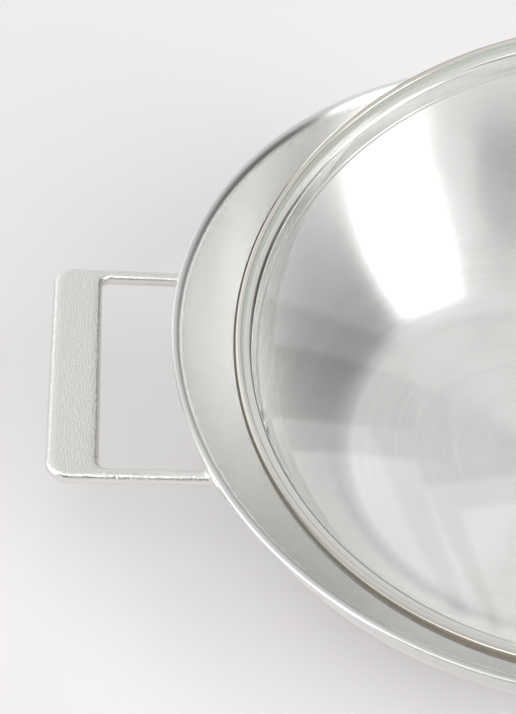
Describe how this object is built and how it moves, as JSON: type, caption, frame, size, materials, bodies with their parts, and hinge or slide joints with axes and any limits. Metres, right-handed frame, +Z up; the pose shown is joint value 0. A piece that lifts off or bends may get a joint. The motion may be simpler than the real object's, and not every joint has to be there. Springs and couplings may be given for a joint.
{
  "type": "wok",
  "caption": "Flat-based stainless steel wok with a flared lip, slim loop side handles and a domed glass lid with a steel rim, lying ajar.",
  "frame": {"origin": "on the bowl's axis, on the flat underside of the base", "axes": "+Z up out of the bowl, +X along the line through the side handles, the left handle at -X"},
  "size_m": [0.4706, 0.3635, 0.2038],
  "materials": {
    "satin_steel": "concentric satin brushing inside and out, with a polished lip",
    "polished_steel": "smooth, nearly mirror polished",
    "cast_steel": "fine bead-blasted casting",
    "core_aluminium": "plain, hidden inside the base",
    "silicone": "matte translucent silicone",
    "tempered_glass": "clear tempered glass with a slight green tint"
  },
  "bodies": {
    "wok": {"wok_bowl": "satin_steel", "base_core": "core_aluminium", "base_cap": "polished_steel", "left_handle": "cast_steel", "right_handle": "cast_steel"},
    "lid": {"lid_rim": "polished_steel", "lid_seal": "silicone", "lid_glass": "tempered_glass", "lid_handle": "cast_steel", "upper_washer": "silicone", "lower_washer": "silicone", "steel_washer": "polished_steel", "lid_screw": "polished_steel"}
  },
  "joints": [
    {"name": "lid_lift", "type": "slide", "parent": "wok", "child": "lid", "axis": [0, 0, 1], "range_m": [0, 0.2]}
  ]
}
